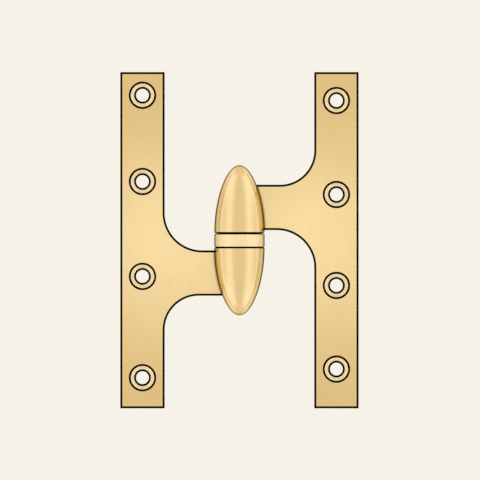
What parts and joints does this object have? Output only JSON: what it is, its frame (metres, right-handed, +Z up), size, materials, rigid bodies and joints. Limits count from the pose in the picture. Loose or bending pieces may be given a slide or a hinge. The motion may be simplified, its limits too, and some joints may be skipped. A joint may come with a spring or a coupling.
{
  "type": "olive knuckle hinge",
  "caption": "Lift-off olive knuckle hinge: tall plates with countersunk holes, joined by arms to an olive-shaped knuckle that turns on a fixed pin and a ball bearing.",
  "frame": {"origin": "on the pin axis at the middle of the bearing, which is the middle of the open hinge", "axes": "+Z up along the pin, +X from the pin to the door leaf, -Y out of the front faces with the countersinks, so +Y out of the mounting faces"},
  "size_m": [0.108, 0.0228, 0.1524],
  "materials": {
    "leaf_brass": "polished, lacquered",
    "band_brass": "polished, lacquered",
    "pin_steel": "ground",
    "bush_bronze": "turned, oiled",
    "bearing_steel": "hardened, ground",
    "cage_brass": "pressed, dull",
    "ball_steel": "polished"
  },
  "bodies": {
    "jamb_side": {"jamb_leaf": "leaf_brass", "hinge_pin": "pin_steel", "bearing_cover": "band_brass", "lower_race": "bearing_steel"},
    "turning_race": {"upper_race": "bearing_steel"},
    "door_side": {"door_leaf": "leaf_brass", "door_leaf_bush": "bush_bronze"},
    "cage": {"ball_cage": "cage_brass", "ball_01": "ball_steel", "ball_02": "ball_steel", "ball_03": "ball_steel", "ball_04": "ball_steel", "ball_05": "ball_steel", "ball_06": "ball_steel", "ball_07": "ball_steel", "ball_08": "ball_steel", "ball_09": "ball_steel", "ball_10": "ball_steel", "ball_11": "ball_steel", "ball_12": "ball_steel", "ball_13": "ball_steel", "ball_14": "ball_steel"}
  },
  "joints": [
    {"name": "swing", "type": "hinge", "parent": "jamb_side", "child": "turning_race", "pos_m": [0, 0, 0], "axis": [0, 0, 1], "range_deg": [-180, 155]},
    {"name": "lift_off", "type": "slide", "parent": "turning_race", "child": "door_side", "axis": [0, 0, 1], "range_m": [0, 0.025]},
    {"name": "cage_turn", "type": "hinge", "parent": "jamb_side", "child": "cage", "pos_m": [0, 0, 0], "axis": [0, 0, 1], "range_deg": [-90, 77.5]}
  ],
  "couplings": [
    {"joint": "cage_turn", "follows": "swing", "ratio": 0.5}
  ]
}
